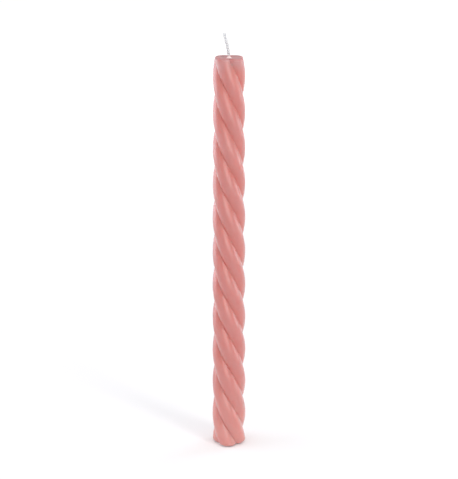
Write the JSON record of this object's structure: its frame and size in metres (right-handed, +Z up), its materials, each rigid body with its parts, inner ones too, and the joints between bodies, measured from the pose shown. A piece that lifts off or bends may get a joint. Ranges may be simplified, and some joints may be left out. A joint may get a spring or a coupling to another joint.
{
  "type": "spiral candle",
  "caption": "Tapered dinner candle with rounded lobes that wind to the left, cast in dyed wax round a plaited cotton wick; it stands in a candle socket or on its flat foot.",
  "frame": {"origin": "centre of the foot, on the plane that the candle stands on", "axes": "+Z up along the wick to the tip; the wick's free end leans towards -X; -Y faces the viewer"},
  "size_m": [0.0212, 0.0212, 0.2643],
  "materials": {
    "wax": "through-dyed salmon pink candle wax, satin, slightly translucent",
    "cotton": "bleached cotton yarn, plaited and primed with wax"
  },
  "bodies": {
    "root": {"wax_body": "wax", "wick_strand_1": "cotton", "wick_strand_2": "cotton", "wick_strand_3": "cotton"}
  },
  "joints": []
}
